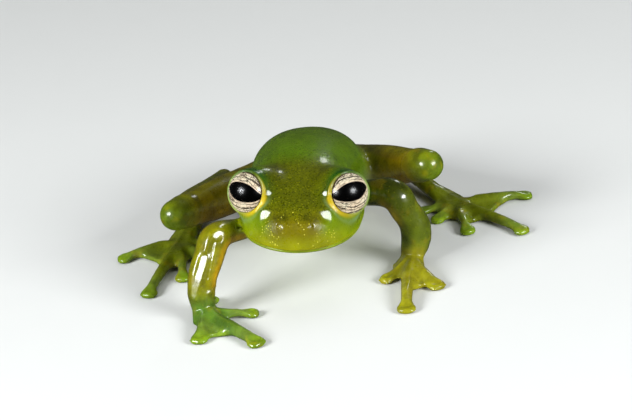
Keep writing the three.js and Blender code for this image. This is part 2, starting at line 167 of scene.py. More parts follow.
# Heights and depths of the low forms of the limbs
FOREARM_DIP_DEPTH_MM = 0.2
FOREARM_CORD_MM = 0.09
TENDON_MM = 0.1
BETWEEN_TENDONS_MM = 0.03
WRIST_FOLD_MM = 0.07
WRIST_BANK_MM = 0.03
THIGH_SWELL_MM = 0.2
# The dip between the two cords of the right forearm in the row frame, and the way that it faces
FOREARM_DIP_MM = [
    (-9.08, -10.0, 7.26), (-9.51, -10.46, 6.28), (-9.79, -10.8, 5.44), (-10.25, -11.23, 4.36),
    (-10.65, -11.63, 3.26),
]
FOREARM_FACING = (-0.2, -0.93, 0.3)
WRIST_FOLDS_MM = [
    [(-11.5, -10.9, 2.75), (-10.5, -11.2, 2.5), (-9.7, -10.9, 2.7)],
    [(-11.5, -11.0, 2.3), (-10.6, -11.4, 2.1), (-9.7, -11.2, 2.3)],
    [(6.7, -5.2, 2.3), (7.5, -5.4, 2.1), (8.6, -5.2, 2.3)],
]
# The front of each wrist in the row frame, where the skin runs smoothly on to the hand
WRIST_FRONTS_MM = [(-10.9, -11.7, 1.3), (8.2, -5.0, 1.3)]
# Where the tendons of each hand and foot come from, seen from above
TENDONS_FROM_MM = {
    "hand_right": (-11.0, -10.5), "hand_left": (8.3, -3.9),
    "foot_right": (-12.41, 9.43), "foot_left": (10.29, 10.23),
}

# The ways that flatter places face in the row frame
FACING_RIGHT = (-0.377, -0.80, 0.472)
FACING_LEFT = (0.396, -0.809, 0.434)
# Flatter places of the face and the right elbow in the head's axes, each with its reach and facing
FLATS_MM = [
    ((-2.77, 2.1, 2.8), 0.42, FACING_RIGHT), ((2.73, 2.1, 2.82), 0.42, FACING_LEFT),
    ((-2.53, 3.66, 4.14), 0.24, FACING_LEFT), ((2.48, 3.69, 4.13), 0.24, FACING_RIGHT),
    ((-7.24, 3.06, 0.3), 0.36, FACING_LEFT), ((-6.9, 3.4, 0.4), 0.28, FACING_LEFT),
]
# Flatter bands down the right forearm: half the width of each, and its path on the skin in the row frame
BANDS_MM = [
    (0.36, [(-10.27, -10.66, 5.62), (-10.6, -11.02, 4.8), (-10.95, -11.34, 4.08), (-11.3, -11.56, 3.33),
            (-11.54, -11.8, 2.58)]),
    (0.14, [(-9.13, -10.21, 6.78), (-9.4, -10.48, 5.98), (-9.67, -10.81, 5.28), (-9.92, -11.09, 4.56),
            (-10.1, -11.33, 3.94)]),
    (0.2, [(-10.64, -11.83, 2.76), (-10.24, -11.63, 2.8), (-9.91, -11.34, 2.81)]),
]

# Small warts of the face: the middle of each group, how far it spreads, and how crowded it is
WART_GROUPS_MM = [
    ((-1.3, 0.6, 2.36), 0.22, 0.95), ((-0.75, 0.4, 2.42), 0.2, 0.9), ((0.72, 0.44, 2.46), 0.22, 0.9),
    ((1.25, 0.5, 2.4), 0.25, 0.95), ((-2.5, 1.1, 1.5), 0.6, 0.95), ((-1.9, 0.6, 1.1), 0.45, 0.6),
    ((-3.1, 1.7, 1.7), 0.5, 0.45), ((2.0, 0.62, 1.04), 0.45, 0.75), ((2.67, 1.14, 1.19), 0.6, 0.75),
    ((3.18, 1.62, 1.36), 0.5, 0.8), ((3.2, 2.2, 2.1), 0.5, 0.4), ((-3.0, 2.0, 2.3), 0.4, 0.2),
    ((0.0, 0.6, 1.2), 1.6, 0.06),
]
# Yellow lines down the inner side of each arm in the row frame, and how strong each is
INNER_ARM_MM = [
    (0.95, [(-6.86, -6.9, 5.66), (-7.47, -7.87, 5.95), (-7.94, -9.05, 6.25), (-8.26, -9.72, 6.16),
            (-8.55, -10.04, 5.68), (-8.91, -10.27, 4.94), (-9.4, -10.8, 4.13), (-9.71, -11.05, 3.17)]),
    (0.5, [(5.74, -4.66, 6.66), (6.35, -4.87, 5.94), (6.77, -4.97, 5.37), (7.03, -4.67, 4.44)]),
]
# Colours of small marks. The nostrils' colour is painted shade in their pits, and the iris rim's colour is a
# painted shadow of the lids.
NOSTRIL_SHADE_TONE = (0.04, 0.03, 0.001)
GOLD_TONE = (0.42, 0.28, 0.004, 1)
STIPPLE_TONE = (0.014, 0.02, 0.0, 1)
GRAIN_TONE = (0.34, 0.33, 0.01, 1)
WART_TONE = (0.72, 0.66, 0.07, 1)
# A painted shadow that the lids cast on the iris's rim
LID_SHADOW_TONE = (0.03, 0.015, 0.01, 1)
PUPIL_TONE = (0.0, 0.0, 0.0, 1)

# Places along the edge of the pupil, (away from the head's middle, up), from its outer end over the top
PUPIL_EDGE_MM = [
    (1.50, 0.17), (1.40, 0.38), (1.20, 0.55), (0.85, 0.70), (0.33, 0.78), (-0.20, 0.75),
    (-0.62, 0.64), (-1.00, 0.48), (-1.40, 0.32), (-1.72, 0.16), (-1.62, -0.16), (-1.30, -0.38),
    (-0.80, -0.57), (-0.20, -0.67), (0.35, -0.66), (0.78, -0.54), (1.10, -0.32), (1.36, -0.04),
]
PUPIL_UP_MM = {"right": -0.07, "left": 0.07}

LAMP_COLOUR = (0.95, 0.98, 1.0)
WORLD_COLOUR = (1.0, 0.98, 0.95, 1)
WORLD_STRENGTH = 0.04
LAMP_RIGHT = (-0.73, -0.53, 0.44)
LAMP_LEFT = (0.69, -0.60, 0.40)
# Each lamp: direction, distance, width and height, share of the lamp power, and whether gloss mirrors it
LAMPS = {
    "lamp_right": (LAMP_RIGHT, 0.3, (0.2, 0.2), 0.15 * 1.06, True),
    "lamp_right_core": (LAMP_RIGHT, 0.29, (0.15, 0.095), 1.35 * 1.06, True),
    "lamp_left": (LAMP_LEFT, 0.3, (0.2, 0.2), 0.15 * 0.94, True),
    "lamp_left_core": (LAMP_LEFT, 0.29, (0.15, 0.095), 1.35 * 0.94, True),
    "lamp_back": ((0.3, 0.84, 0.45), 0.35, (0.06, 0.06), 0.09, True),
    "lamp_top": ((0.1, 0.2, 1.0), 0.4, (0.4, 0.4), 0.55, False),
}
LAMP_AIM_MM = (0, 0, 6)

CAMERA_AIM_MM = (-0.0044, -8.4678, 8.2715)
CAMERA_ELEVATION = math.radians(24)
CAMERA_AZIMUTH = math.radians(3)
CAMERA_ROLL = math.radians(7)
CAMERA_DISTANCE_MM = 250
CAMERA_SENSOR_MM = 36
CAMERA_CLIP_MM = 10
FLOOR_REACH_MM = 1500
FLOOR_SQUARES = 8

# Numbers at the points of a mesh


def read(items, key, width=3, kind=float):
    """One row of numbers for each vertex, edge or face."""
    got = np.empty(len(items) * width, kind)
    items.foreach_get(key, got)
    return got.reshape(-1, width)


def points_of(mesh):
    return read(mesh.vertices, "co")


def normals_of(mesh):
    return read(mesh.vertex_normals, "vector")


def edges_of(mesh):
    return read(mesh.edges, "vertices", 2, np.int32)


def set_points(mesh, points):
    mesh.vertices.foreach_set("co", points.astype(np.float32).ravel())
    mesh.update()


def store(mesh, name, values):
    """Keeps three numbers for each point as a vector that the material reads."""
    layer = mesh.attributes.new(name, "FLOAT_VECTOR", "POINT")
    layer.data.foreach_set("vector", values.astype(np.float32).ravel())


def averaged(values, edges, times=1):
    """Gives each point the mean of its neighbours, so many times."""
    count = len(values)
    ends = np.concatenate([edges[:, 0], edges[:, 1]])
    others = np.concatenate([edges[:, 1], edges[:, 0]])
    degree = np.maximum(np.bincount(ends, minlength=count), 1)
    for _ in range(times):
        columns = values.reshape(count, -1).T
        sums = [np.bincount(ends, weights=column[others], minlength=count) / degree for column in columns]
        values = np.stack(sums, axis=1).reshape(values.shape)
    return values


def fall(distance, width):
    """1 at a distance of 0, falling smoothly past the width."""
    return np.exp(-((distance / width) ** 2))


def ramp(value, start, end):
    """0 at start, 1 at end, smooth between. The end may be less than the start."""
    share = np.clip((value - start) / (end - start), 0, 1)
    return share * share * (3 - 2 * share)


def away_from(points, place):
    return np.linalg.norm(points - np.array(place), axis=1)


def past_path(points, path, radii=None):
    """Each point's distance from a line through the places of path, and the nearest place on it.

    With a radius for each place, the distance is from a round limb and less than 0 inside it.
    """
    path = np.array(path, float)
    radii = np.zeros(len(path)) if radii is None else radii
    best = np.full(len(points), FAR_MM)
    nearest = points.copy()
    for i, along in enumerate(np.diff(path, axis=0)):
        share = np.clip((points - path[i]) @ along / (along @ along), 0, 1)
        place = path[i] + share[:, None] * along
        gap = away_from(points, place) - radii[i] - share * (radii[i + 1] - radii[i])
        nearer = gap < best
        best[nearer] = gap[nearer]
        nearest[nearer] = place[nearer]
    return best, nearest


def distance_to_path(points, path):
    return past_path(points, path)[0]


def smooth_curve(corners, parts, closed=False):
    """A curve through the corners, with whatever each carries after its place."""
    first, last = (corners[-1:], corners[:2]) if closed else (corners[:1], corners[-1:])
    rows = np.array([*first, *corners, *last], float)
    shares = np.arange(parts)[:, None] / parts
    pieces = []
    for before, here, after, beyond in zip(rows, rows[1:], rows[2:], rows[3:]):
        pieces.append(0.5 * (2 * here + (after - before) * shares
                             + (2 * before - 5 * here + 4 * after - beyond) * shares**2
                             + (3 * here - before - 3 * after + beyond) * shares**3))
    return np.vstack(pieces if closed else [*pieces, rows[-1:]])


# The axes of the head and the eyes


def node_middle(name):
    """The middle of a node's box, in millimetres."""
    low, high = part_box(name)
    return np.array(low + high) / 2 / MM


EYE_PLACE_MM = {name: node_middle(node) for name, node in EYE_NODES.items()}
EYE_MIDDLE_MM = (EYE_PLACE_MM["left"] + EYE_PLACE_MM["right"]) / 2
EYE_RADIUS_MM = (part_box(EYE_NODES["left"])[1].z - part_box(EYE_NODES["left"])[0].z) / 2 / MM


def eye_axes(side_name):
    """Columns: to the frog's left across the eye, up the eye and along its gaze, in the row frame."""
    sideways = math.sin(EYE_SIDEWAYS) * math.cos(EYE_UPWARDS) * SIDES[side_name]
    forwards = math.cos(EYE_SIDEWAYS) * math.cos(EYE_UPWARDS)
    ahead = HEAD_TURN @ Vector((sideways, -forwards, math.sin(EYE_UPWARDS)))
    up = HEAD_TURN @ Vector((0, 0, 1))
    up = (up - ahead * up.dot(ahead)).normalized()
    return Matrix((up.cross(ahead), up, ahead)).transposed()


def outward_axes(side_name):
    """The same, but the first column points away from the middle of the head."""
    return np.array(eye_axes(side_name)) * np.array([SIDES[side_name], 1, 1])


def in_head(points):
    """Row frame millimetres to the head's own axes."""
    return (points - EYE_MIDDLE_MM) @ np.array(HEAD_TURN) + np.array([0, EYE_BEHIND_MM, EYE_ABOVE_MM])


def both_sides(head):
    """Places in the head's axes with the right side folded on to the left."""
    return np.column_stack([np.abs(head[:, 0]), head[:, 1:]])


def in_eye(points, side_name):
    """Row frame millimetres to an eye's own axes: (away from the middle of the head, up, along the gaze)."""
    return (points - EYE_PLACE_MM[side_name]) @ outward_axes(side_name)


def past_lid(local):
    """Each point's distance from the edge of the lids, in millimetres, less than 0 over the iris."""
    across = np.hypot(local[:, 0], local[:, 1])
    ring, ahead = LID_RING_MM * math.sin(LID_EDGE), LID_RING_MM * math.cos(LID_EDGE)
    gap = np.hypot(across - ring, local[:, 2] - ahead)
    return np.where((across < ring) & (local[:, 2] > 0.3), -gap, gap)


def lid_angle(local):
    """Degrees round an eye, from its outer side over the top."""
    return np.degrees(np.arctan2(local[:, 1], local[:, 0])) % 360


def near_lids(points, reach):
    near = np.zeros(len(points), bool)
    for name in SIDES:
        near |= np.abs(past_lid(in_eye(points, name)) - 0.2) < reach
    return near


def near_mouth(points, reach):
    head = in_head(points)
    inside = (np.abs(head[:, 0]) < HEAD_SIDE_MM) & (head[:, 1] < MOUTH_CORNER_MM + 0.5)
    return inside & (np.abs(head[:, 2]) < reach)


def near_nostrils(points, reach):
    return away_from(both_sides(in_head(points)), NOSTRIL_MM) < reach


# Which node of the solid model each point of the skin belongs to


def flesh_labels(mesh):
    """For each point of the skin, the number in FLESH of the node it lies on."""
    corners, faces, owners = [], [], []
    for number, name in enumerate(FLESH):
        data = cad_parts[name].data
        start = len(corners)
        corners.extend(v.co / MM for v in data.vertices)
        for polygon in data.polygons:
            faces.append([start + v for v in polygon.vertices])
            owners.append(number)
    tree = BVHTree.FromPolygons(corners, faces)
    return np.array([owners[tree.find_nearest(v.co)[2]] for v in mesh.vertices])


def on_nodes(labels, *starts):
    """1 on the nodes whose names start with one of these words, else 0."""
    wanted = [name.startswith(starts) for name in FLESH]
    return np.array(wanted, float)[labels]


def seams(mesh, labels):
    """1 where two nodes met and a little to each side, falling off beyond."""
    edges = edges_of(mesh)
    across = edges[labels[edges[:, 0]] != labels[edges[:, 1]]]
    near = np.zeros(len(labels))
    near[across.ravel()] = 1
    for _ in range(3):
        near = (averaged(near, edges) > 0).astype(float)
    return averaged(near, edges, 3)


def palm_of(digit):
    """The hand or foot of a finger or toe."""
    kind, _, side_name = digit.split("_")
    return f"{'hand' if kind == 'finger' else 'foot'}_{side_name}"


# The skin's form. Numbers that have no name here are widths and places in millimetres, and shares of 1.


def mesh_of(bm, name):
    """Turns a bmesh into a mesh, and frees it."""
    mesh = bpy.data.meshes.new(name)
    bm.to_mesh(mesh)
    bm.free()
    return mesh


def linked(name, data):
    """A new object of the scene."""
    made = bpy.data.objects.new(name, data)
    bpy.context.scene.collection.objects.link(made)
    return made


def keep_largest(bm):
    """Deletes all but the largest connected piece."""
    left = set(bm.verts)
    pieces = []
    while left:
        piece = set()
        todo = [left.pop()]
        while todo:
            vert = todo.pop()
            piece.add(vert)
            fresh = [e.other_vert(vert) for e in vert.link_edges if e.other_vert(vert) in left]
            left.difference_update(fresh)
            todo.extend(fresh)
        pieces.append(piece)
    pieces.sort(key=len)
    scraps = [vert for piece in pieces[:-1] for vert in piece]
    bmesh.ops.delete(bm, geom=scraps, context="VERTS")


def fused_flesh():
    """All solids as one closed skin that still covers the eyes, in millimetres."""
    bm = bmesh.new()
    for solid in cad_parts.values():
        bm.from_mesh(solid.data)
    bmesh.ops.remove_doubles(bm, verts=bm.verts, dist=1e-6)
    bmesh.ops.scale(bm, vec=(1 / MM, 1 / MM, 1 / MM), verts=bm.verts)
    bm.normal_update()
    pushed = [vert.co + vert.normal * CLOSE_MM * min(vert.calc_shell_factor(), 1.7) for vert in bm.verts]
    for vert, place in zip(bm.verts, pushed):
        vert.co = place
    for place, radius in JOINTS_MM:
        ball = bmesh.ops.create_icosphere(bm, subdivisions=3, radius=radius + CLOSE_MM)
        bmesh.ops.translate(bm, vec=Vector(place), verts=ball["verts"])
    rough = linked("flesh", mesh_of(bm, "flesh"))
    fuse = rough.modifiers.new("Fuse", "REMESH")
    fuse.mode = "VOXEL"
    fuse.voxel_size = VOXEL_MM
    depsgraph = bpy.context.evaluated_depsgraph_get()
    fused = bpy.data.meshes.new_from_object(rough.evaluated_get(depsgraph))
    bpy.data.objects.remove(rough)
    bm = bmesh.new()
    bm.from_mesh(fused)
    keep_largest(bm)
    bm.to_mesh(fused)
    bm.free()
    return fused


def eased(points, edges, share):
    """Moves each point a share of the way to the mean of its neighbours."""
    return points + (averaged(points, edges) - points) * share


def relax(mesh, passes, share=0.5, weight=1.0, keep_volume=True):
    """Evens the surface out. With keep_volume each pass swells back, so that thin limbs don't shrink."""
    edges = edges_of(mesh)
    points = points_of(mesh)
    weight = np.broadcast_to(weight, len(points))[:, None]
    for _ in range(passes):
        points = eased(points, edges, share * weight)
        if keep_volume:
            points = eased(points, edges, -(share + SWELL) * weight)
    set_points(mesh, points)


def push(mesh, height):
    """Moves each point out along its normal."""
    set_points(mesh, points_of(mesh) + normals_of(mesh) * np.asarray(height)[..., None])


def refine(mesh, wanted):
    """Splits each face whose middle is wanted. wanted takes an array of points and gives true or false."""
    chosen = np.flatnonzero(wanted(read(mesh.polygons, "center")))
    bm = bmesh.new()
    bm.from_mesh(mesh)
    bm.faces.ensure_lookup_table()
    edges = list({edge for i in chosen for edge in bm.faces[int(i)].edges})
    bmesh.ops.subdivide_edges(bm, edges=edges, cuts=1, use_grid_fill=True)
    bm.to_mesh(mesh)
    bm.free()
    mesh.update()


def past_bend(points, start, joint, end, radii):
    """Each point's distance from a limb of two round lengths that run into each other, less than 0 inside."""
    gaps = []
    for place, radius in ((start, radii[0]), (end, radii[2])):
        along = np.array(place) - np.array(joint)
        share = np.clip((points - joint) @ along / (along @ along), 0, 1)
        reach = radii[1] + (radius - radii[1]) * np.clip(share * np.linalg.norm(along) / 3.0, 0, 1)
        gaps.append(away_from(points, joint + share[:, None] * along) - reach)
    share = np.clip(0.5 + 0.5 * (gaps[1] - gaps[0]) / KNEE_FILLET_MM, 0, 1)
    return gaps[1] * (1 - share) + gaps[0] * share - KNEE_FILLET_MM * share * (1 - share)


def round_bends(mesh, labels):
    """Arms follow their own row of places. Knees bend in one smooth curve."""
    points = points_of(mesh)
    edges = edges_of(mesh)
    for side_name, corners in ARMS_MM.items():
        row = smooth_curve(corners, 4)
        own = on_nodes(labels, f"upper_arm_{side_name}", f"forearm_{side_name}", f"hand_{side_name}")
        own = averaged(own, edges, 4)
        near = own * ramp(away_from(points, row[0, :3]), 0.4, 1.8) * ramp(points[:, 2], 0.5, 2.4)
        wrist = (own * fall(points[:, 2] - 1.5, 0.8))[:, None]
        inside = np.flatnonzero(near > 0.001)
        near = near[:, None]
        for _ in range(16):
            points = eased(points, edges, 0.6 * near)
            gap, nearest = past_path(points[inside], row[:, :3], row[:, 3])
            outward = points[inside] - nearest
            outward /= np.maximum(np.linalg.norm(outward, axis=1), 1e-6)[:, None]
            points[inside] -= outward * gap[:, None] * near[inside] * 0.8
        for _ in range(14):
            points = eased(points, edges, 0.5 * wrist)
    for side_name, knee in KNEES_MM.items():
        joint, end = np.array(knee[1]), np.array(knee[2])
        own = on_nodes(labels, f"thigh_{side_name}", f"shank_{side_name}")
        away = away_from(points, joint)
        past = (points - joint) @ (end - joint) > 0
        near = np.where(past, ramp(away, 2.4, 1.3), ramp(away, 4.2, 2.6))
        near = averaged(near * own, edges)[:, None]
        inside = np.flatnonzero(near[:, 0] > 0.001)
        for _ in range(26):
            points = eased(points, edges, 0.6 * near)
            some = points[inside]
            gap = past_bend(some, *knee)
            slopes = [(past_bend(some + step, *knee) - gap) / STEP_MM for step in np.eye(3) * STEP_MM]
            points[inside] = some - np.stack(slopes, axis=1) * gap[:, None] * near[inside] * 0.8
    set_points(mesh, points)
    relax(mesh, 8, weight=on_nodes(labels, "upper_arm_", "forearm_", "thigh_", "shank_"))


def thin_webs(mesh, labels):
    """The skin between the digits is a thin sheet, low over the floor."""
    points, normals = points_of(mesh), normals_of(mesh)
    height = points[:, 2]
    flat_top = ramp(normals[:, 2], 0.9, 0.99) * ramp(height, 0.4, 0.52) * ramp(height, 0.82, 0.72)
    webs = averaged(on_nodes(labels, "finger_", "toe_") * flat_top, edges_of(mesh), 2)
    height -= WEB_THINNING_MM * webs
    set_points(mesh, points)


def shape_limbs(mesh, labels):
    """Cords of muscle down the forearm, tendons over hands and feet, folds at the wrists, fuller thighs."""
    points, normals, edges = points_of(mesh), normals_of(mesh), edges_of(mesh)
    facing = np.array(FOREARM_FACING) / np.linalg.norm(FOREARM_FACING)

    def in_plane(places):
        return places - (places @ facing)[:, None] * facing

    dip = distance_to_path(in_plane(points), in_plane(np.array(FOREARM_DIP_MM)))
    ahead = on_nodes(labels, "forearm_right", "upper_arm_right") * ramp(normals @ facing, 0.1, 0.5)
    moved = ahead * (FOREARM_CORD_MM * fall(dip - 0.56, 0.24) - FOREARM_DIP_DEPTH_MM * fall(dip, 0.27))
    level = points * np.array([1, 1, 0])
    palms = {name: averaged(on_nodes(labels, name), edges, 8) for name in TENDONS_FROM_MM}
    for name in DIGITS:
        palm = palm_of(name)
        cord = distance_to_path(level, [(*TENDONS_FROM_MM[palm], 0), (*node_middle(name)[:2], 0)])
        on_top = palms[palm] * ramp(normals[:, 2], 0.1, 0.6)
        moved += on_top * (TENDON_MM * fall(cord, 0.24) - BETWEEN_TENDONS_MM)
    for fold in WRIST_FOLDS_MM:
        gap = distance_to_path(points, fold)
        moved += WRIST_BANK_MM * fall(gap - 0.28, 0.14) - WRIST_FOLD_MM * fall(gap, 0.12)
    for side_name, side in SIDES.items():
        thigh = f"thigh_{side_name}"
        knee = max(corner.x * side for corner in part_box(thigh)) * side / MM
        own = averaged(on_nodes(labels, thigh), edges, 2)
        moved += own * THIGH_SWELL_MM * fall(np.abs(knee - points[:, 0]) - 4.8, 2.0)
    push(mesh, moved)


def shape_cheeks(mesh, labels):
    """The ring of the ear, the fold over it, the hollow below the eye and the groove down the snout."""
    head = in_head(points_of(mesh))
    mirrored = both_sides(head)
    ear = away_from(mirrored, EARDRUM_MM)
    moved = EAR_RING_MM * fall(ear - 0.62, 0.16) - EAR_PIT_MM * fall(ear, 0.4)
    for height, width, path in CHEEK_FORMS_MM.values():
        moved += height * fall(distance_to_path(mirrored, path), width)
    leaner = LEANER_BY_MM * fall(distance_to_path(head, LEAN_CHEEK_MM), 1.0)
    push(mesh, moved - leaner * averaged(on_nodes(labels, *BODY), edges_of(mesh)))


def carve_mouth(mesh, labels):
    """The line of the mouth with a full upper lip over it."""
    points, normals = points_of(mesh), normals_of(mesh)
    head = in_head(points)
    closed = ramp(head[:, 1], MOUTH_CORNER_MM, MOUTH_CORNER_MM - 1.5) * on_nodes(labels, *BODY)
    above = head[:, 2] + 0.02
    inward = MOUTH_GROOVE_MM * fall(above, 0.11)
    inward -= UPPER_LIP_MM * fall(above - 0.42, 0.3) + UNDER_LIP_MM * fall(above + 0.4, 0.25)
    set_points(mesh, points - normals * np.array([1, 1, 0]) * (inward * closed)[:, None])


def open_nostrils(mesh):
    """A pit with a raised rim at each nostril."""
    head = in_head(points_of(mesh))
    moved = np.zeros(len(head))
    for side in SIDES.values():
        gap = head - np.array(NOSTRIL_MM) * np.array([side, 1, 1])
        outward = np.array(NOSTRIL_FACING) * np.array([side, 1, 1])
        outward /= np.linalg.norm(outward)
        across = np.linalg.norm(gap - (gap @ outward)[:, None] * outward, axis=1)
        near = fall(np.linalg.norm(gap, axis=1), 0.9)
        rim = NOSTRIL_RIM_MM * fall(across - 0.25, 0.11) * ramp(-gap[:, 0] * side, -0.1, 0.2)
        moved += (rim - NOSTRIL_PIT_MM * fall(across, 0.1)) * near
    push(mesh, moved)


def flattened(points, middle, facing, reach, end, depth):
    """Presses points on to a plane through the middle, in full within the reach and less up to the end."""
    gap = points - middle
    height = gap @ facing
    across = np.linalg.norm(gap - height[:, None] * facing, axis=1)
    share = ramp(across, reach * end, reach * 0.8) * fall(height, depth)
    return points - facing * (height * share)[:, None]


def flatten_places(mesh):
    """Flatter places beside the eyes, on the ridges below them, over the right elbow and down its forearm."""
    points = points_of(mesh)
    for place, reach, facing in FLATS_MM:
        near = np.argmin(away_from(in_head(points), place))
        points = flattened(points, points[near], np.array(facing), reach, 2.3, 0.8)
    for reach, path in BANDS_MM:
        nearest = past_path(points, path)[1]
        points = flattened(points, nearest, np.array(FACING_RIGHT), reach, 2.0, 0.6)
    set_points(mesh, points)


def open_lids(mesh):
    """Sinks the skin over each iris behind it, and rolls the lids round it."""
    points = points_of(mesh)
    for name in SIDES:
        local = in_eye(points, name)
        radius = np.linalg.norm(local, axis=1)
        past = past_lid(local)
        inner = fall(lid_angle(local) - INNER_ANGLE, 75)
        roll = LID_ROLL_MM * (0.45 + 0.55 * inner)
        crest = LID_SKIN_MM + (LID_CREST_MM - LID_SKIN_MM) * fall(past - roll, 0.2) * (0.4 + 0.6 * inner)
        crest -= 0.05 * fall(past - 0.72, 0.13) * inner
        rolled = np.sqrt(1 - (1 - np.clip(past / roll, 0, 1)) ** 2)
        lifted = np.where(past < CREST_REACH_MM, np.maximum(radius, crest), radius)
        wanted = SOCKET_MM + (lifted - SOCKET_MM) * rolled
        over_eye = ((past > 0) | (radius < EYE_REACH_MM)) & (past <= LID_REACH_MM)
        local = local * (np.where(over_eye, wanted, radius) / np.maximum(radius, 1e-6))[:, None]
        behind_iris = (past < 0) & (radius < EYE_REACH_MM)
        local[behind_iris, 2] = np.minimum(local[behind_iris, 2], BEHIND_IRIS_MM)
        points = local @ outward_axes(name).T + EYE_PLACE_MM[name]
    set_points(mesh, points)


def skin_form():
    """The whole skin's mesh in millimetres."""
    mesh = fused_flesh()
    relax(mesh, 14)
    labels = flesh_labels(mesh)
    relax(mesh, 60, weight=seams(mesh, labels))
    bulky = averaged(on_nodes(labels, *BODY), edges_of(mesh))
    bulky = bulky * ~near_lids(points_of(mesh), 0.9)
    relax(mesh, 16, weight=near_lids(points_of(mesh), 1.3).astype(float), keep_volume=False)
    relax(mesh, 24, share=0.45, weight=bulky, keep_volume=False)
    relax(mesh, 16)
    push(mesh, -CLOSE_MM)
    round_bends(mesh, labels)
    fine = ("hand_", "finger_", "forearm_right")
    boxes = [np.array(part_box(name)) / MM for name in FLESH if name.startswith(fine)]

    def fine_zone(points):
        head = in_head(points)
        wanted = (head[:, 1] < 5.2) & (head[:, 2] > -0.9) & (np.abs(head[:, 0]) < HEAD_SIDE_MM)
        wanted |= near_lids(points, 1.2) | near_mouth(points, 0.8)
        for low, high in boxes:
            wanted |= np.all((points > low - 0.2) & (points < high + 0.2), axis=1)
        return wanted

    def finest_zone(points):
        return near_lids(points, 0.62) | near_nostrils(points, 0.6) | near_mouth(points, 0.25)

    for zone in (fine_zone, finest_zone):
        refine(mesh, zone)
        relax(mesh, 6, weight=zone(points_of(mesh)).astype(float))
    labels = flesh_labels(mesh)
    thin_webs(mesh, labels)
    shape_limbs(mesh, labels)
    points = points_of(mesh)
    wrists = np.maximum(*[fall(away_from(points, place), 1.1) for place in WRIST_FRONTS_MM])
    relax(mesh, 24, weight=wrists, keep_volume=False)
    shape_cheeks(mesh, labels)
    carve_mouth(mesh, labels)
    open_nostrils(mesh)
    flatten_places(mesh)
    open_lids(mesh)
    points = points_of(mesh)
    points[:, 2] = np.maximum(points[:, 2], 0)
    set_points(mesh, points)
    return mesh


# The skin's markings


def wart_crowding(head):
    """How many of the skin's small cells hold a wart, from 0 to 1."""
    crowding = np.zeros(len(head))
    for middle, spread, share in WART_GROUPS_MM:
        crowding = np.maximum(crowding, share * fall(away_from(head, middle), spread * 1.3))
    return crowding * (head[:, 2] > 0.3) * (head[:, 1] < 5)


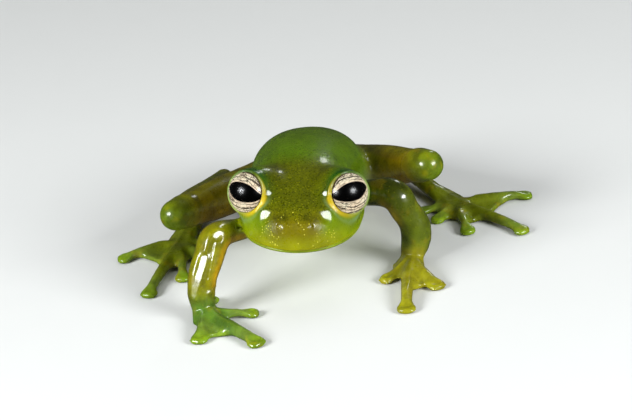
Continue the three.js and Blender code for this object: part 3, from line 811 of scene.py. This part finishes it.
def skin_layers(mesh, labels, tones):
    """What the material reads: the colour of each point, its marks (stipple, warts, limbs), how wet it is."""
    points, normals, edges = points_of(mesh), normals_of(mesh), edges_of(mesh)
    head = in_head(points)
    mirrored = both_sides(head)
    side, behind, above = mirrored.T
    upward = normals[:, 2]
    tint = np.tile(np.array(tones.back, float), (len(points), 1))

    def on(*starts):
        return on_nodes(labels, *starts)

    def paint(colour, share):
        tint[:] += (np.array(colour) - tint) * np.clip(share, 0, 1)[:, None]

    body = on(*BODY)
    grounds = {
        ("upper_arm", "forearm"): tones.arm,
        # Painted shade: the left forearm is painted darker for the shade that falls on it, and the left upper
        # arm darker still
        ("forearm_left",): tones.left_arm_painted_shade,
        ("upper_arm_left",): np.array(tones.left_arm_painted_shade) * 0.4,
        ("hand", "finger"): tones.hand,
        ("thigh",): tones.thigh,
        ("shank", "tarsus"): tones.shank,
        ("foot", "toe"): tones.foot,
        ("lower_jaw",): tones.throat,
    }
    for starts, tone in grounds.items():
        paint(tone, on(*starts))
    chin = on("lower_jaw") * ramp(above, -1.5, -0.7)
    paint(tones.belly, on("lower_jaw", "torso") * ramp(upward, 0.1, -0.6) * (1 - chin))
    tint[:] = averaged(tint, edges, 34)

    upper = averaged(on("head"), edges)
    front = ramp(behind, 11, 7.5)
    crown = upper * ramp(side, 3.9, 2.4) * ramp(above, 2.3, 3.3)
    cheek = upper * ramp(above, 3.6, 1.8) * front
    paint(tones.cheek, cheek)
    paint(tones.crown, crown * front)
    paint(tones.snout, upper * ramp(side, 3.2, 1.6) * ramp(above, 3.6, 2.6) * ramp(behind, 4, 1.5))
    paint(tones.lip, upper * ramp(above, 1.9, 0.7) * ramp(side, 5.5, 2.5) * 0.9)
    # A painted highlight: a pale line along the edge of the upper lip
    paint(tones.lip_edge_highlight, upper * fall(above - 0.2, 0.13) * ramp(behind, 9, 6) * 0.55)
    for place, reach in SNOUT_LOBES_MM:
        paint(np.array(tones.crown) * 0.35, fall(away_from(mirrored, place), reach) * 0.9)
    # Painted shade along the groove down the snout, in the crown's darker colour
    paint(tones.crown, fall(distance_to_path(mirrored, SNOUT_GROOVE_SHADE_MM), 0.12) * 0.5)
    # Painted shade in each nostril's pit
    paint(NOSTRIL_SHADE_TONE, fall(away_from(mirrored, NOSTRIL_MM), 0.19) * 0.75)

    wet = 0.5 + 0.35 * averaged(on("upper_arm", "forearm", "hand", "finger"), edges)
    wet *= 1 - 0.9 * body * ramp(above, 0.4, 0.1) * ramp(behind, 10, 8)
    stipple = np.clip(crown + ramp(upward, 0.0, 0.7) * body * 0.6, 0, 1) * (1 - cheek * 0.75)
    for name in SIDES:
        local = in_eye(points, name)
        past, angle = past_lid(local), lid_angle(local)
        from_top = np.abs(angle - TOP_ANGLE)
        over = fall(np.minimum(from_top, 360 - from_top), 62)
        inner = fall(angle - INNER_ANGLE, 66)
        ring = 0.13 + 0.25 * fall(angle - INNER_ANGLE, 48)
        paint(tones.brow, upper * over * fall(np.maximum(past - 0.5, 0), 0.75) * 0.95)
        paint(tones.patch_and_fold_highlight, fall(angle - 285, 32) * fall(past - 0.62, 0.22) * 0.85)
        paint(tones.ring, inner * ramp(past, ring + 0.1, ring))
        paint(tones.rim, ramp(past, 0.2, 0.06) * (1 - inner) * (1 - fall(from_top, 55)) * 0.7)
        # A painted highlight along the fold just outside the ring on the inner side of each eye, in the pale
        # patch colour
        paint(tones.patch_and_fold_highlight, fall(past - 0.6, 0.07) * fall(angle - INNER_ANGLE, 42) * 0.7)
        wet *= 1 - 0.85 * ramp(past, 0.5, 0.3)
        stipple *= ramp(past, 0.45, 0.9)

    for side_name, outer in SIDES.items():
        thigh = on(f"thigh_{side_name}")
        outward = np.where(thigh > 0, points[:, 0] * outer, -FAR_MM)
        away = away_from(points, points[outward > outward.max() - 1.4].mean(axis=0))
        near = np.maximum(thigh, fall(np.maximum(away - 1.6, 0), 0.4)) * ramp(away, 3.6, 1.3)
        paint(tones.knee, near * (1 - body))
        paint(tones.shank, averaged(thigh, edges) * ramp(upward, 0.55, 0.95) * 0.55)
    for name in DIGITS:
        own = on(name)
        away = away_from(points[:, :2], node_middle(palm_of(name))[:2])
        tip = away[own > 0].max()
        paint(tones.digit, own * ramp(away, tip - 4.2, tip - 1.4) * 0.7)
        paint(tones.disc, own * ramp(away, tip - 1.7, tip - 0.5) * 0.85)
    left_hand = on("hand_left", *[name for name in DIGITS if palm_of(name) == "hand_left"])
    paint(tones.hand_left, averaged(left_hand, edges, 8) * 0.7)
    for strength, path in INNER_ARM_MM:
        line = fall(distance_to_path(points, path), 0.36) * on("forearm", "upper_arm")
        paint(tones.vein, line * strength)
    tint[:] = averaged(tint, edges, 3)

    stipple = averaged(np.clip(stipple, 0, 1), edges)
    marks = np.stack([stipple, wart_crowding(head), averaged(1 - body, edges, 2)], axis=1)
    return {"tint": tint, "marks": marks, "wet": np.stack([wet, wet, wet], axis=1)}


# Materials. Scales of noise and cells are in turns a millimetre, apart from the floor's.


class Nodes:
    """The nodes of a new material."""

    def __init__(self, name):
        self.material = bpy.data.materials.new(name)
        self.material.use_nodes = True
        self.tree = self.material.node_tree
        self.tree.nodes.clear()

    def add(self, kind, inputs=None, **settings):
        """The outputs of a new node with its settings, and inputs set to a value or joined to a socket."""
        made = self.tree.nodes.new(kind)
        for key, value in settings.items():
            setattr(made, key, value)
        for key, value in (inputs or {}).items():
            if isinstance(value, bpy.types.NodeSocket):
                self.tree.links.new(value, made.inputs[key])
            else:
                made.inputs[key].default_value = value
        return made.outputs

    def maths(self, operation, *values):
        return self.add("ShaderNodeMath", dict(enumerate(values)), operation=operation)[0]

    def times(self, first, second):
        return self.maths("MULTIPLY", first, second)

    def mixed(self, share, low, high, blend="MIX"):
        inputs = {0: share, 6: low, 7: high}
        return self.add("ShaderNodeMix", inputs, data_type="RGBA", blend_type=blend)[2]

    def mapped(self, value, low, high, to_low=0.0, to_high=1.0):
        inputs = {"Value": value, "From Min": low, "From Max": high, "To Min": to_low, "To Max": to_high}
        return self.add("ShaderNodeMapRange", inputs, interpolation_type="SMOOTHSTEP")["Result"]

    def place(self):
        """The place on the piece, in millimetres."""
        where = self.add("ShaderNodeTexCoord")["Object"]
        return self.add("ShaderNodeMapping", {"Vector": where, "Scale": (1 / MM,) * 3})["Vector"]

    def attribute(self, name, output="Vector"):
        return self.add("ShaderNodeAttribute", attribute_name=name)[output]

    def noise(self, place, scale, detail, output="Fac"):
        return self.add("ShaderNodeTexNoise", {"Vector": place, "Scale": scale, "Detail": detail})[output]

    def cells(self, place, scale, randomness=1.0, feature="F1"):
        inputs = {"Vector": place, "Scale": scale, "Randomness": randomness}
        return self.add("ShaderNodeTexVoronoi", inputs, feature=feature)

    def bump(self, height, strength, distance):
        inputs = {"Height": height, "Strength": strength, "Distance": distance}
        return self.add("ShaderNodeBump", inputs)["Normal"]

    def principled(self, inputs):
        return self.add("ShaderNodeBsdfPrincipled", inputs)["BSDF"]

    def done(self, surface):
        self.add("ShaderNodeOutputMaterial", {"Surface": surface})
        return self.material


def skin_material():
    """Reads its colours from the skin: grainy on crown and back, mottled on the limbs, warts by the lips."""
    nodes = Nodes("glass_frog_skin")
    times, mixed, mapped, place = nodes.times, nodes.mixed, nodes.mapped, nodes.place()
    stipple, warts, limbs = nodes.add("ShaderNodeSeparateXYZ", {"Vector": nodes.attribute("marks")})

    def noise(scale, detail):
        return nodes.noise(place, scale, detail)

    def spots(scale, inner, outer):
        return mapped(nodes.cells(place, scale)["Distance"], inner, outer, 1.0, 0.0)

    broad = mapped(noise(0.55, 3.0), 0.3, 0.7, 0.84, 1.14)
    colour = mixed(1.0, nodes.attribute("tint"), broad, "MULTIPLY")
    mottled = mixed(1.0, colour, mapped(noise(1.1, 4.0), 0.34, 0.66, 0.8, 1.16), "MULTIPLY")
    colour = mixed(times(limbs, 0.8), colour, mottled)
    golden = times(mapped(noise(0.7, 2.0), 0.54, 0.68), limbs)
    colour = mixed(times(golden, 0.2), colour, GOLD_TONE)

    dark = times(spots(5.3, 0.2, 0.55), mapped(noise(1.6, 2.0), 0.3, 0.6, 0.35, 1.0))
    colour = mixed(times(times(dark, stipple), 0.9), colour, STIPPLE_TONE)
    grainy = nodes.maths("MAXIMUM", stipple, times(limbs, 0.6))
    colour = mixed(times(times(spots(3.1, 0.1, 0.3), grainy), 0.35), colour, GRAIN_TONE)
    cells = nodes.cells(place, 4.8, 0.9)
    drawn = nodes.add("ShaderNodeSeparateColor", {"Color": cells["Color"]})[0]
    round_spot = mapped(cells["Distance"], 0.14, 0.34, 1.0, 0.0)
    wart = times(round_spot, nodes.maths("LESS_THAN", drawn, warts))
    colour = mixed(times(wart, 0.75), colour, WART_TONE)

    fine = noise(5.0, 4.0)
    pebbles = mapped(nodes.cells(place, 3.4, feature="SMOOTH_F1")["Distance"], 0.0, 0.6, 1.0, 0.0)
    height = nodes.maths("ADD", times(pebbles, 0.7), times(fine, 0.5))
    height = nodes.maths("ADD", height, times(wart, 1.2))
    return nodes.done(nodes.principled({
        "Base Color": colour,
        "Roughness": mapped(fine, 0.3, 0.7, 0.26, 0.4),
        "Normal": nodes.bump(height, 0.5, 0.035 * MM),
        "Subsurface Weight": 0.3,
        "Subsurface Radius": (1.0, 1.0, 0.15),
        "Subsurface Scale": 0.35 * MM,
        "IOR": 1.4,
        "Specular IOR Level": 0.35,
        "Coat Weight": nodes.attribute("wet", "Fac"),
        "Coat Roughness": 0.09,
    }))


def eye_material(settings):
    """Cream iris with a net of dark lines along a black pupil and a painted shadow of the lids round its rim,
    read from the eye's own map.
    """
    nodes = Nodes("glass_frog_iris")
    times, mixed, mapped, place = nodes.times, nodes.mixed, nodes.mapped, nodes.place()
    past, _, edge = nodes.add("ShaderNodeSeparateXYZ", {"Vector": nodes.attribute("iris")})

    def noise(scale, detail, shift=0.0):
        moved = nodes.add("ShaderNodeMapping", {"Vector": place, "Location": (shift, shift, shift)})["Vector"]
        return nodes.noise(moved, scale, detail)

    def vectors(operation, first, second):
        return nodes.add("ShaderNodeVectorMath", {0: first, 1: second}, operation=operation)[0]

    def arcs(spacing, sway, scale, width, shift):
        """Long lines along the pupil, a spacing apart, that sway and come and go."""
        swayed = nodes.maths("MULTIPLY_ADD", noise(scale, 2.0, shift), sway, past)
        phase = nodes.maths("FRACT", nodes.maths("DIVIDE", swayed, spacing))
        off = nodes.maths("ABSOLUTE", nodes.maths("SUBTRACT", phase, 0.5))
        shown = mapped(noise(1.4, 1.0, shift + 9.0), 0.3, 0.5)
        wide = times(shown, width / spacing)
        line = mapped(off, times(wide, 0.45), wide, 1.0, 0.0)
        return times(line, mapped(shown, 0.0, 0.15))

    long_lines = arcs(0.5, 0.5, 1.0, 0.08, 0.0)
    short_lines = times(arcs(0.26, 0.4, 1.8, 0.055, 4.0), 0.85)
    warp = vectors("MULTIPLY", nodes.noise(place, 2.4, 1.0, "Color"), (0.25, 0.25, 0.25))
    cells = nodes.cells(vectors("ADD", place, warp), 2.5, feature="DISTANCE_TO_EDGE")
    net = mapped(cells["Distance"], 0.025, 0.07, 1.0, 0.0)
    net = times(net, mapped(noise(1.7, 1.0, 2.0), 0.38, 0.56, 0.35, 0.95))
    lines = nodes.maths("MAXIMUM", nodes.maths("MAXIMUM", long_lines, short_lines), net)
    lines = times(lines, mapped(past, 0.04, 0.1))

    cream = mixed(mapped(noise(1.3, 1.0), 0.35, 0.65), settings.iris_light, settings.iris_warm)
    near_pupil = mapped(past, 0.02, 0.16, 1.0, 0.0)
    cream = mixed(times(near_pupil, 0.7), cream, settings.iris_pink)
    colour = mixed(times(lines, 0.98), cream, settings.iris_line)
    # A painted shadow of the lids round the iris's rim
    colour = mixed(mapped(edge, 1.72, 1.78), colour, LID_SHADOW_TONE)
    colour = mixed(mapped(past, 0.0, 0.03, 1.0, 0.0), colour, PUPIL_TONE)
    return nodes.done(nodes.principled({
        "Base Color": colour,
        "Roughness": 0.6,
        "Specular IOR Level": 0.0,
        "Normal": nodes.bump(lines, 0.3, -0.03 * MM),
    }))


def cornea_material():
    """Clear and wet. Lamps shine straight through it, so the iris isn't left in its shade."""
    nodes = Nodes("glass_frog_cornea")
    glass = nodes.principled({
        "Base Color": (1, 1, 1, 1),
        "Roughness": 0.2,
        "IOR": 1.35,
        "Transmission Weight": 1.0,
    })
    clear = nodes.add("ShaderNodeBsdfTransparent")["BSDF"]
    shadow = nodes.add("ShaderNodeLightPath")["Is Shadow Ray"]
    return nodes.done(nodes.add("ShaderNodeMixShader", {0: shadow, 1: glass, 2: clear})["Shader"])


def floor_material(colour):
    nodes = Nodes("pale_floor")
    place = nodes.add("ShaderNodeTexCoord")["Object"]
    return nodes.done(nodes.principled({
        "Base Color": (*colour, 1),
        "Roughness": nodes.mapped(nodes.noise(place, 400.0, 2.0), 0.3, 0.7, 0.7, 0.85),
        "Specular IOR Level": 0.2,
    }))


# Pieces


def finished(mesh, name, material, nodes):
    """Adds a mesh in millimetres, already in its place, as a piece that stands for the given nodes."""
    mesh.transform(Matrix.Scale(MM, 4))
    mesh.materials.clear()
    mesh.materials.append(material)
    mesh.shade_smooth()
    mesh.name = name
    made = linked(name, mesh)
    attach(made, "root")
    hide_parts(*nodes)


def iris_map(points, side_name):
    """For each point of an eyeball: distance past the pupil's edge, height, and distance from the gaze, made
    larger on the inner upper side where the painted shadow of the lids is wider.
    """
    local = in_eye(points, side_name)
    flat = local[:, :2]
    loop = smooth_curve(np.array(PUPIL_EDGE_MM) + np.array([0, PUPIL_UP_MM[side_name]]), 8, closed=True)
    past = distance_to_path(flat, np.vstack([loop, loop[:1]]))
    crossed = np.zeros(len(flat), int)
    for (x0, y0), (x1, y1) in zip(loop, np.roll(loop, -1, axis=0)):
        between = (flat[:, 1] > y0) != (flat[:, 1] > y1)
        cut = x0 + (flat[:, 1] - y0) * (x1 - x0) / ((y1 - y0) if y1 != y0 else 1e-9)
        crossed += between & (flat[:, 0] < cut)
    past = np.where(crossed % 2 == 1, -past, past)
    edge = np.where(local[:, 2] > 0, np.hypot(local[:, 0], local[:, 1]), 3)
    # The painted shadow of the lids reaches further in toward the inner upper side
    edge = edge + 0.13 * fall(lid_angle(local) - LID_SHADOW_ANGLE, 75)
    return np.stack([past, local[:, 1], edge], axis=1)


def eye_mesh(bm, side_name, name):
    """Turns a form made round the origin to its eye's gaze and moves it there."""
    bmesh.ops.transform(bm, matrix=eye_axes(side_name).to_4x4(), verts=bm.verts)
    bmesh.ops.translate(bm, vec=Vector(EYE_PLACE_MM[side_name]), verts=bm.verts)
    return mesh_of(bm, name)


def build_eyeball(side_name, material):
    bm = bmesh.new()
    bmesh.ops.create_uvsphere(bm, u_segments=EYEBALL_SEGMENTS, v_segments=EYEBALL_SEGMENTS, radius=GLOBE_MM)
    reach = math.acos(IRIS_PLANE_MM / GLOBE_MM)
    for vert in bm.verts:
        polar = math.acos(max(-1.0, min(1.0, vert.co.z / GLOBE_MM)))
        if polar >= reach:
            continue
        share = polar / reach
        wide = math.hypot(vert.co.x, vert.co.y)
        widen = math.sin(reach) * GLOBE_MM * share / wide if wide > 1e-9 else 1
        vert.co.x *= widen
        vert.co.y *= widen
        vert.co.z = IRIS_PLANE_MM + IRIS_BULGE_MM * (1 - share**2)
    mesh = eye_mesh(bm, side_name, "eyeball")
    store(mesh, "iris", iris_map(points_of(mesh), side_name))
    finished(mesh, f"eyeball_{side_name}", material, [EYE_NODES[side_name]])


def build_cornea(side_name, material):
    bm = bmesh.new()
    bmesh.ops.create_icosphere(bm, subdivisions=CORNEA_SUBDIVISIONS, radius=EYE_RADIUS_MM)
    whole = bm.verts[:] + bm.edges[:] + bm.faces[:]
    cut = bmesh.ops.bisect_plane(bm, geom=whole, plane_co=(0, 0, CORNEA_BACK_MM), plane_no=(0, 0, 1),
                                 clear_inner=True)
    rim = [g for g in cut["geom_cut"] if isinstance(g, bmesh.types.BMEdge)]
    bmesh.ops.holes_fill(bm, edges=rim, sides=0)
    bmesh.ops.recalc_face_normals(bm, faces=bm.faces)
    mesh = eye_mesh(bm, side_name, "cornea")
    finished(mesh, f"cornea_{side_name}", material, [EYE_NODES[side_name]])


def aimed_light(name, power, direction, distance, size, share, mirrored):
    """A soft lamp, as wide and tall as size says, that shines on the frog from a direction."""
    data = bpy.data.lights.new(name, "AREA")
    data.shape = "ELLIPSE"
    data.size, data.size_y = size
    data.color = LAMP_COLOUR
    data.energy = power * share
    lamp = linked(name, data)
    back = Vector(direction).normalized()
    lamp.location = back * distance + Vector(LAMP_AIM_MM) * MM
    lamp.rotation_mode = "QUATERNION"
    lamp.rotation_quaternion = back.to_track_quat("Z", "Y")
    lamp.visible_glossy = mirrored


def build_camera(lens):
    back = Vector((
        math.sin(CAMERA_AZIMUTH) * math.cos(CAMERA_ELEVATION),
        -math.cos(CAMERA_AZIMUTH) * math.cos(CAMERA_ELEVATION),
        math.sin(CAMERA_ELEVATION),
    ))
    data = bpy.data.cameras.new("camera")
    data.lens = lens
    data.sensor_width = CAMERA_SENSOR_MM
    data.clip_start = CAMERA_CLIP_MM * MM
    camera = linked("camera", data)
    camera.location = (Vector(CAMERA_AIM_MM) + back * CAMERA_DISTANCE_MM) * MM
    level = (-back).to_track_quat("-Z", "Y").to_matrix()
    camera.rotation_euler = (level @ Matrix.Rotation(-CAMERA_ROLL, 3, "Z")).to_euler()
    bpy.context.scene.camera = camera


def build_floor(colour):
    bm = bmesh.new()
    reach = FLOOR_REACH_MM * MM
    bmesh.ops.create_grid(bm, x_segments=FLOOR_SQUARES, y_segments=FLOOR_SQUARES, size=reach)
    mesh = mesh_of(bm, "floor")
    mesh.materials.append(floor_material(colour))
    floor = linked("floor", mesh)
    floor.visible_glossy = False


def tone(name, description, default):
    """A colour setting with as many numbers as its default."""
    return FloatVectorProperty(name=name, description=description, default=default, size=len(default),
                               subtype="COLOR", min=0, max=1)


class GlassFrogSkin(bpy.types.PropertyGroup):
    """Colours of the skin."""

    back: tone("Back", "Upper side of the body", (0.10, 0.19, 0.001))
    crown: tone("Crown", "Top of the head between the eyes", (0.085, 0.095, 0.0))
    cheek: tone("Cheek", "Sides of the head", (0.15, 0.22, 0.0))
    snout: tone("Snout", "Front of the snout", (0.135, 0.115, 0.0))
    lip: tone("Lip", "Upper lip", (0.225, 0.23, 0.0))
    # Painted highlight along the edge of the upper lip
    lip_edge_highlight: tone("Lip edge", "Pale line along the lip", (0.40, 0.38, 0.0))
    ring: tone("Eye ring", "Ring on the inner side of each eye", (0.48, 0.34, 0.003))
    rim: tone("Lid rim", "Edge of the lids on the outer side", (0.20, 0.25, 0.08))
    brow: tone("Brow", "Skin over each eye", (0.008, 0.065, 0.002))
    # The same colour also paints a highlight along the fold on the inner side of each eye
    patch_and_fold_highlight: tone("Eye patch", "Patch under the outer side of each eye", (0.17, 0.27, 0.11))
    throat: tone("Throat", "Lower jaw", (0.22, 0.28, 0.01))
    belly: tone("Belly", "Underside of the body", (0.50, 0.56, 0.30))
    arm: tone("Arm", "Upper arm and forearm", (0.17, 0.165, 0.001))
    # Painted shade: the left arm's colour is darker than the right arm's only for the shade that falls on it
    left_arm_painted_shade: tone("Left arm", "Upper arm and forearm on the left", (0.085, 0.11, 0.003))
    vein: tone("Arm line", "Yellow line inside the arm", (0.5, 0.28, 0.0))
    hand: tone("Hand", "Hands", (0.08, 0.16, 0.014))
    hand_left: tone("Left hand", "Yellower left hand", (0.33, 0.27, 0.004))
    digit: tone("Digits", "Fingers and toes before their ends", (0.18, 0.26, 0.03))
    thigh: tone("Thigh", "Thighs", (0.15, 0.095, 0.0))
    knee: tone("Knee", "Knees", (0.10, 0.15, 0.004))
    shank: tone("Shank", "Lower legs", (0.13, 0.145, 0.002))
    foot: tone("Foot", "Feet and toes", (0.115, 0.14, 0.003))
    disc: tone("Discs", "Ends of fingers and toes", (0.17, 0.27, 0.005))


class GlassFrogEyes(bpy.types.PropertyGroup):
    """Colours of the eyes."""

    iris_light: tone("Iris", "Pale ground of the iris", (0.41, 0.365, 0.26, 1))
    iris_warm: tone("Iris, warm", "Warmer ground of the iris", (0.40, 0.325, 0.225, 1))
    iris_pink: tone("Pupil rim", "Iris next to the pupil", (0.38, 0.28, 0.20, 1))
    iris_line: tone("Iris lines", "Net of lines over the iris", (0.012, 0.006, 0.003, 1))


class GlassFrogStage(bpy.types.PropertyGroup):
    """Floor, lamps and camera."""

    floor: tone("Floor", "Colour of the floor", (0.74, 0.74, 0.72))
    lamp_power: FloatProperty(name="Lamp power", description="Power that each lamp takes a share of",
                              default=0.7, unit="POWER")
    lens: FloatProperty(name="Lens", description="Focal length of the camera", default=160.2, unit="CAMERA")


class GLASSFROG_OT_skin(bpy.types.Operator):
    """Fuse the flesh into one skin with lids, mouth, nostrils and markings"""

    bl_idname = "glassfrog.skin"
    bl_label = "Build skin"

    def execute(self, context):
        mesh = skin_form()
        for name, values in skin_layers(mesh, flesh_labels(mesh), context.scene.glass_frog_skin).items():
            store(mesh, name, values)
        finished(mesh, "skin", skin_material(), FLESH)
        return {"FINISHED"}


class GLASSFROG_OT_eyes(bpy.types.Operator):
    """Build both eyeballs and their clear corneas"""

    bl_idname = "glassfrog.eyes"
    bl_label = "Build eyes"

    def execute(self, context):
        iris = eye_material(context.scene.glass_frog_eyes)
        clear = cornea_material()
        for side_name in SIDES:
            build_eyeball(side_name, iris)
            build_cornea(side_name, clear)
        return {"FINISHED"}


class GLASSFROG_OT_stage(bpy.types.Operator):
    """Add the pale floor, the soft lamps and the camera"""

    bl_idname = "glassfrog.stage"
    bl_label = "Build stage"

    def execute(self, context):
        settings = context.scene.glass_frog_stage
        build_floor(settings.floor)
        for name, lamp in LAMPS.items():
            aimed_light(name, settings.lamp_power, *lamp)
        world = bpy.data.worlds.new("studio")
        world.use_nodes = True
        world.node_tree.nodes["Background"].inputs["Color"].default_value = WORLD_COLOUR
        world.node_tree.nodes["Background"].inputs["Strength"].default_value = WORLD_STRENGTH
        context.scene.world = world
        context.scene.view_settings.view_transform = "Standard"
        build_camera(settings.lens)
        return {"FINISHED"}


class GLASSFROG_PT_panel(bpy.types.Panel):
    """Lists the pieces and their settings"""

    bl_idname = "GLASSFROG_PT_panel"
    bl_label = "Glass Frog"
    bl_space_type = "VIEW_3D"
    bl_region_type = "UI"
    bl_category = "Glass Frog"

    def draw(self, context):
        for operator, settings in (
            (GLASSFROG_OT_skin, context.scene.glass_frog_skin),
            (GLASSFROG_OT_eyes, context.scene.glass_frog_eyes),
            (GLASSFROG_OT_stage, context.scene.glass_frog_stage),
        ):
            box = self.layout.box()
            for key in settings.__annotations__:
                box.prop(settings, key)
            box.operator(operator.bl_idname)


CLASSES = (
    GlassFrogSkin,
    GlassFrogEyes,
    GlassFrogStage,
    GLASSFROG_OT_skin,
    GLASSFROG_OT_eyes,
    GLASSFROG_OT_stage,
    GLASSFROG_PT_panel,
)


def register():
    for cls in CLASSES:
        bpy.utils.register_class(cls)
    bpy.types.Scene.glass_frog_skin = PointerProperty(type=GlassFrogSkin)
    bpy.types.Scene.glass_frog_eyes = PointerProperty(type=GlassFrogEyes)
    bpy.types.Scene.glass_frog_stage = PointerProperty(type=GlassFrogStage)


def unregister():
    del bpy.types.Scene.glass_frog_skin
    del bpy.types.Scene.glass_frog_eyes
    del bpy.types.Scene.glass_frog_stage
    for cls in reversed(CLASSES):
        bpy.utils.unregister_class(cls)


def main():
    register()
    bpy.ops.glassfrog.skin()
    bpy.ops.glassfrog.eyes()
    bpy.ops.glassfrog.stage()


if __name__ == "__main__":
    main()
